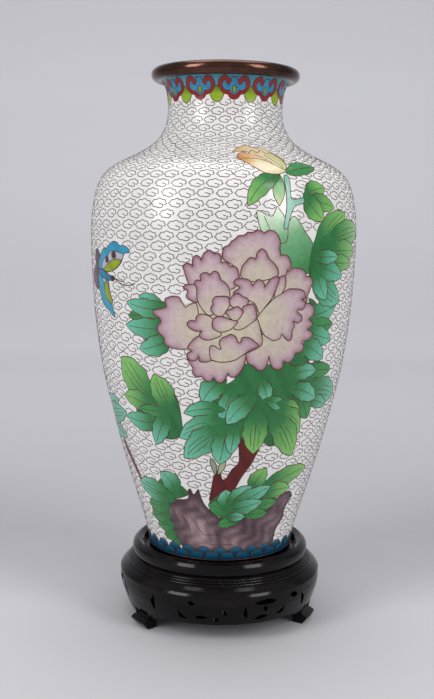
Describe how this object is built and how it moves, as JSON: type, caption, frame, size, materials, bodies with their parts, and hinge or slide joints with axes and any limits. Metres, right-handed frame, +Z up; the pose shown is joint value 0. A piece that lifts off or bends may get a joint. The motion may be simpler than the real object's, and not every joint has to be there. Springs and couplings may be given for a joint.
{
  "type": "cloisonne vase with stand",
  "caption": "Shouldered cloisonne vase with a flared neck and rolled mouth, on a round pierced wooden stand with splayed feet.",
  "frame": {"origin": "on the floor under the vase's axis, at the plane of the stand's feet", "axes": "+Z up along the vase's axis; the front of the vase, with the large peony, faces -Y; +X is to the viewer's right"},
  "size_m": [0.1394, 0.1394, 0.2905],
  "materials": {
    "copper": "satin",
    "aged_copper": "satin, dark patina",
    "wire": "polished and lightly aged",
    "counter_enamel": "glossy fired enamel, lightly pitted",
    "white_enamel": "glossy fired enamel",
    "turquoise_enamel": "glossy fired enamel",
    "blue_enamel": "glossy fired enamel",
    "pink_enamel": "glossy fired enamel, shaded",
    "yellow_enamel": "glossy fired enamel, shaded",
    "teal_enamel": "glossy fired enamel",
    "green_enamel": "glossy fired enamel, shaded",
    "red_enamel": "glossy fired enamel",
    "mauve_enamel": "glossy fired enamel, shaded",
    "dark_wood": "dark stained and lacquered",
    "dowel_wood": "plain",
    "brass": "plain"
  },
  "bodies": {
    "stand": {"stand_rim": "dark_wood", "seat_board": "dark_wood", "stand_waist": "dark_wood", "stand_shoulder": "dark_wood", "apron_1": "dark_wood", "apron_2": "dark_wood", "apron_3": "dark_wood", "leg_1": "dark_wood", "leg_2": "dark_wood", "leg_3": "dark_wood", "leg_dowels": "dowel_wood", "rim_screws": "brass"},
    "vase": {"copper_bowl": "copper", "copper_belly": "copper", "copper_shoulder": "copper", "copper_neck": "copper", "mouth_ring": "aged_copper", "foot_ring": "aged_copper", "base_plate": "copper", "base_enamel": "counter_enamel", "body_lining": "counter_enamel", "neck_lining": "counter_enamel", "ground_enamel": "white_enamel", "neck_band_enamel": "turquoise_enamel", "foot_band_enamel": "blue_enamel", "neck_wire_upper": "wire", "neck_wire_lower": "wire", "foot_wire": "wire", "peony_enamel": "pink_enamel", "bud_enamel": "yellow_enamel", "stem_enamel": "teal_enamel", "bud_leaf_enamel": "green_enamel", "upper_leaf_enamel": "green_enamel", "side_leaf_enamel": "green_enamel", "middle_leaf_enamel": "green_enamel", "lower_leaf_enamel": "green_enamel", "trunk_enamel": "red_enamel", "rock_enamel": "mauve_enamel", "edge_leaf_enamel": "green_enamel", "butterfly_enamel": "blue_enamel", "rear_flower_enamel": "pink_enamel", "rear_leaf_enamel": "green_enamel", "rear_trunk_enamel": "red_enamel", "rear_butterfly_enamel": "blue_enamel", "peony_wire": "wire", "bud_wire": "wire", "leaf_wires": "wire", "branch_wires": "wire", "rock_wire": "wire", "butterfly_wires": "wire", "rear_flower_wires": "wire", "rear_leaf_wires": "wire"}
  },
  "joints": [
    {"name": "vase_lift", "type": "slide", "parent": "stand", "child": "vase", "axis": [0, 0, 1], "range_m": [0, 0.05]}
  ]
}
